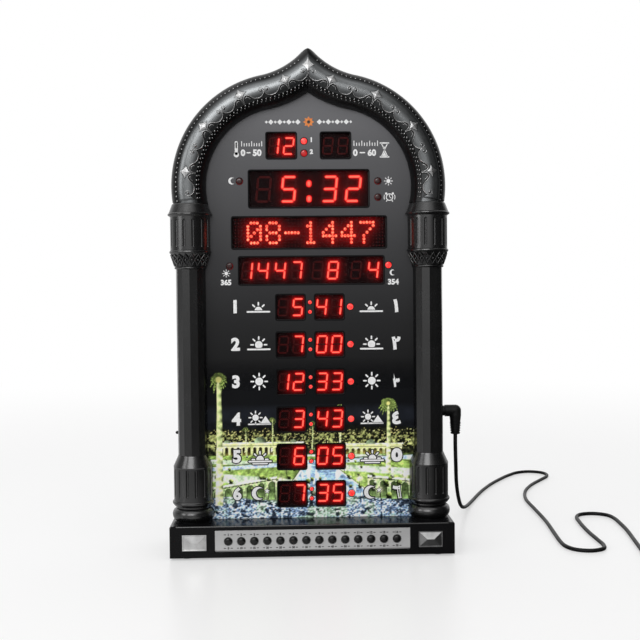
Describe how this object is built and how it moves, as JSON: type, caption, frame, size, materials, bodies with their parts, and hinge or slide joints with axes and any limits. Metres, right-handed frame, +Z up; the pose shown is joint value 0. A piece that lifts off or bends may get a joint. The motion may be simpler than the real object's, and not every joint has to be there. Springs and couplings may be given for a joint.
{
  "type": "digital table clock",
  "caption": "Table clock shaped as a pointed arch on columns, with a row of keys in its plinth, red number windows in a printed panel, and a low-voltage lead with a wall adapter.",
  "frame": {"origin": "on the surface that the feet stand on, at the middle of the clock's width and depth, the lead left out", "axes": "+X to the right as seen from the front, +Y from the front to the back, +Z up"},
  "size_m": [0.462, 0.4755, 0.3917],
  "materials": {
    "black_gloss": "polished black moulded plastic",
    "black_satin": "satin black moulded plastic",
    "moulding_black": "black plastic with a soft sheen",
    "arch_pewter": "black with pewter-rubbed relief",
    "rubber_black": "soft matt rubber",
    "screw_steel": "plated steel",
    "strip_silver": "fine brushed silver",
    "chrome_trim": "bright chrome on plastic",
    "board_green": "solder-resist on glass fibre",
    "module_black": "fine matt black",
    "header_ivory": "ivory nylon",
    "cable_grey": "grey flat cable",
    "key_black": "glossy black",
    "panel_print": "printed sheet under a clear gloss",
    "filter_red": "clear dark red sheet",
    "light_red": "red tinted clear resin",
    "cell_steel": "bright nickel",
    "cone_black": "pressed paper",
    "lead_red": "plastic insulation",
    "cord_black": "black flexible jacket"
  },
  "bodies": {
    "clock": {"plinth_shell": "black_gloss", "plinth_cover": "black_satin", "rubber_feet": "rubber_black", "plinth_screws": "screw_steel", "button_strip": "strip_silver", "inlay_left": "chrome_trim", "inlay_right": "chrome_trim", "key_board": "board_green", "key_switches": "module_black", "ribbon_headers": "header_ivory", "ribbon_cable": "cable_grey", "column_base_left": "moulding_black", "column_base_right": "moulding_black", "column_shaft_left": "moulding_black", "column_shaft_right": "moulding_black", "capital_left": "moulding_black", "capital_right": "moulding_black", "arch_frame": "arch_pewter", "housing": "black_satin", "back_cover": "black_satin", "cover_screws": "screw_steel", "face_panel": "panel_print", "red_filter": "filter_red", "display_board": "board_green", "board_screws": "screw_steel", "small_digits": "module_black", "clock_digits": "module_black", "matrix_modules": "module_black", "date_digits": "module_black", "row_digits": "module_black", "colon_lights": "light_red", "indicator_lights": "light_red", "control_chips": "module_black", "cell_holder": "module_black", "coin_cell": "cell_steel", "speaker_basket": "screw_steel", "speaker_cone": "cone_black", "inner_leads": "lead_red", "dc_jack": "black_satin", "temperature_probe": "black_satin", "dc_plug": "cord_black", "cord_run": "cord_black", "cord_coil": "cord_black", "coil_tie": "cord_black", "adapter_body": "black_satin", "adapter_pins": "cell_steel"},
    "key_01": {"button_01": "key_black"},
    "key_02": {"button_02": "key_black"},
    "key_03": {"button_03": "key_black"},
    "key_04": {"button_04": "key_black"},
    "key_05": {"button_05": "key_black"},
    "key_06": {"button_06": "key_black"},
    "key_07": {"button_07": "key_black"},
    "key_08": {"button_08": "key_black"},
    "key_09": {"button_09": "key_black"},
    "key_10": {"button_10": "key_black"},
    "key_11": {"button_11": "key_black"},
    "key_12": {"button_12": "key_black"},
    "key_13": {"button_13": "key_black"},
    "key_14": {"button_14": "key_black"}
  },
  "joints": [
    {"name": "key_01_press", "type": "slide", "parent": "clock", "child": "key_01", "axis": [0, 1, 0], "range_m": [0, 0.0005], "stiffness_N_per_m": 300},
    {"name": "key_02_press", "type": "slide", "parent": "clock", "child": "key_02", "axis": [0, 1, 0], "range_m": [0, 0.0005], "stiffness_N_per_m": 300},
    {"name": "key_03_press", "type": "slide", "parent": "clock", "child": "key_03", "axis": [0, 1, 0], "range_m": [0, 0.0005], "stiffness_N_per_m": 300},
    {"name": "key_04_press", "type": "slide", "parent": "clock", "child": "key_04", "axis": [0, 1, 0], "range_m": [0, 0.0005], "stiffness_N_per_m": 300},
    {"name": "key_05_press", "type": "slide", "parent": "clock", "child": "key_05", "axis": [0, 1, 0], "range_m": [0, 0.0005], "stiffness_N_per_m": 300},
    {"name": "key_06_press", "type": "slide", "parent": "clock", "child": "key_06", "axis": [0, 1, 0], "range_m": [0, 0.0005], "stiffness_N_per_m": 300},
    {"name": "key_07_press", "type": "slide", "parent": "clock", "child": "key_07", "axis": [0, 1, 0], "range_m": [0, 0.0005], "stiffness_N_per_m": 300},
    {"name": "key_08_press", "type": "slide", "parent": "clock", "child": "key_08", "axis": [0, 1, 0], "range_m": [0, 0.0005], "stiffness_N_per_m": 300},
    {"name": "key_09_press", "type": "slide", "parent": "clock", "child": "key_09", "axis": [0, 1, 0], "range_m": [0, 0.0005], "stiffness_N_per_m": 300},
    {"name": "key_10_press", "type": "slide", "parent": "clock", "child": "key_10", "axis": [0, 1, 0], "range_m": [0, 0.0005], "stiffness_N_per_m": 300},
    {"name": "key_11_press", "type": "slide", "parent": "clock", "child": "key_11", "axis": [0, 1, 0], "range_m": [0, 0.0005], "stiffness_N_per_m": 300},
    {"name": "key_12_press", "type": "slide", "parent": "clock", "child": "key_12", "axis": [0, 1, 0], "range_m": [0, 0.0005], "stiffness_N_per_m": 300},
    {"name": "key_13_press", "type": "slide", "parent": "clock", "child": "key_13", "axis": [0, 1, 0], "range_m": [0, 0.0005], "stiffness_N_per_m": 300},
    {"name": "key_14_press", "type": "slide", "parent": "clock", "child": "key_14", "axis": [0, 1, 0], "range_m": [0, 0.0005], "stiffness_N_per_m": 300}
  ]
}
